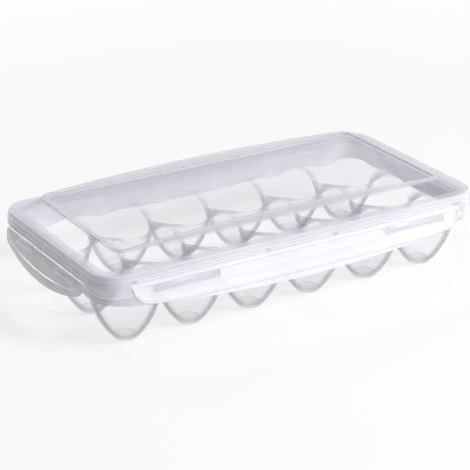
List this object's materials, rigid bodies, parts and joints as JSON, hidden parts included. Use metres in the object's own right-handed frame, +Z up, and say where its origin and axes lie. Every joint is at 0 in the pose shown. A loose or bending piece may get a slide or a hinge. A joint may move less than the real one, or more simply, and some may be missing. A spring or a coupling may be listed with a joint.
{
  "type": "egg keeper",
  "caption": "Clear box for eggs: a tray of hanging cups under a domed lift-off lid with a sealing ring and a hinged lock flap on each side.",
  "frame": {"origin": "middle of the keeper's outline on the plane that the cups' feet stand on", "axes": "+X along the length, +Y to the rear, +Z up, away from the plane it stands on"},
  "size_m": [0.3308, 0.1748, 0.0723],
  "materials": {
    "tray_plastic": "clear polypropylene, faintly milky, smooth",
    "lid_plastic": "clear polypropylene, faintly milky, glossy",
    "seal_silicone": "translucent white silicone, smooth"
  },
  "bodies": {
    "tray": {"egg_cup_1_1": "tray_plastic", "egg_cup_1_2": "tray_plastic", "egg_cup_1_3": "tray_plastic", "egg_cup_1_4": "tray_plastic", "egg_cup_1_5": "tray_plastic", "egg_cup_1_6": "tray_plastic", "egg_cup_2_1": "tray_plastic", "egg_cup_2_2": "tray_plastic", "egg_cup_2_3": "tray_plastic", "egg_cup_2_4": "tray_plastic", "egg_cup_2_5": "tray_plastic", "egg_cup_2_6": "tray_plastic", "egg_cup_3_1": "tray_plastic", "egg_cup_3_2": "tray_plastic", "egg_cup_3_3": "tray_plastic", "egg_cup_3_4": "tray_plastic", "egg_cup_3_5": "tray_plastic", "egg_cup_3_6": "tray_plastic", "tray_rim": "tray_plastic"},
    "lid": {"lid": "lid_plastic", "seal": "seal_silicone"},
    "front_flap": {"front_flap": "lid_plastic"},
    "rear_flap": {"rear_flap": "lid_plastic"},
    "left_flap": {"left_flap": "lid_plastic"},
    "right_flap": {"right_flap": "lid_plastic"}
  },
  "joints": [
    {"name": "lid_lift", "type": "slide", "parent": "tray", "child": "lid", "axis": [0, 0, 1], "range_m": [0, 0.08]},
    {"name": "front_flap_hinge", "type": "hinge", "parent": "lid", "child": "front_flap", "pos_m": [0, -0.0795, 0.05272], "axis": [-1, 0, 0], "range_deg": [-23.5, 93]},
    {"name": "rear_flap_hinge", "type": "hinge", "parent": "lid", "child": "rear_flap", "pos_m": [0, 0.0795, 0.05272], "axis": [1, 0, 0], "range_deg": [-23.5, 93]},
    {"name": "left_flap_hinge", "type": "hinge", "parent": "lid", "child": "left_flap", "pos_m": [-0.1575, 0, 0.05272], "axis": [0, 1, 0], "range_deg": [-23.5, 93]},
    {"name": "right_flap_hinge", "type": "hinge", "parent": "lid", "child": "right_flap", "pos_m": [0.1575, 0, 0.05272], "axis": [0, -1, 0], "range_deg": [-23.5, 93]}
  ]
}
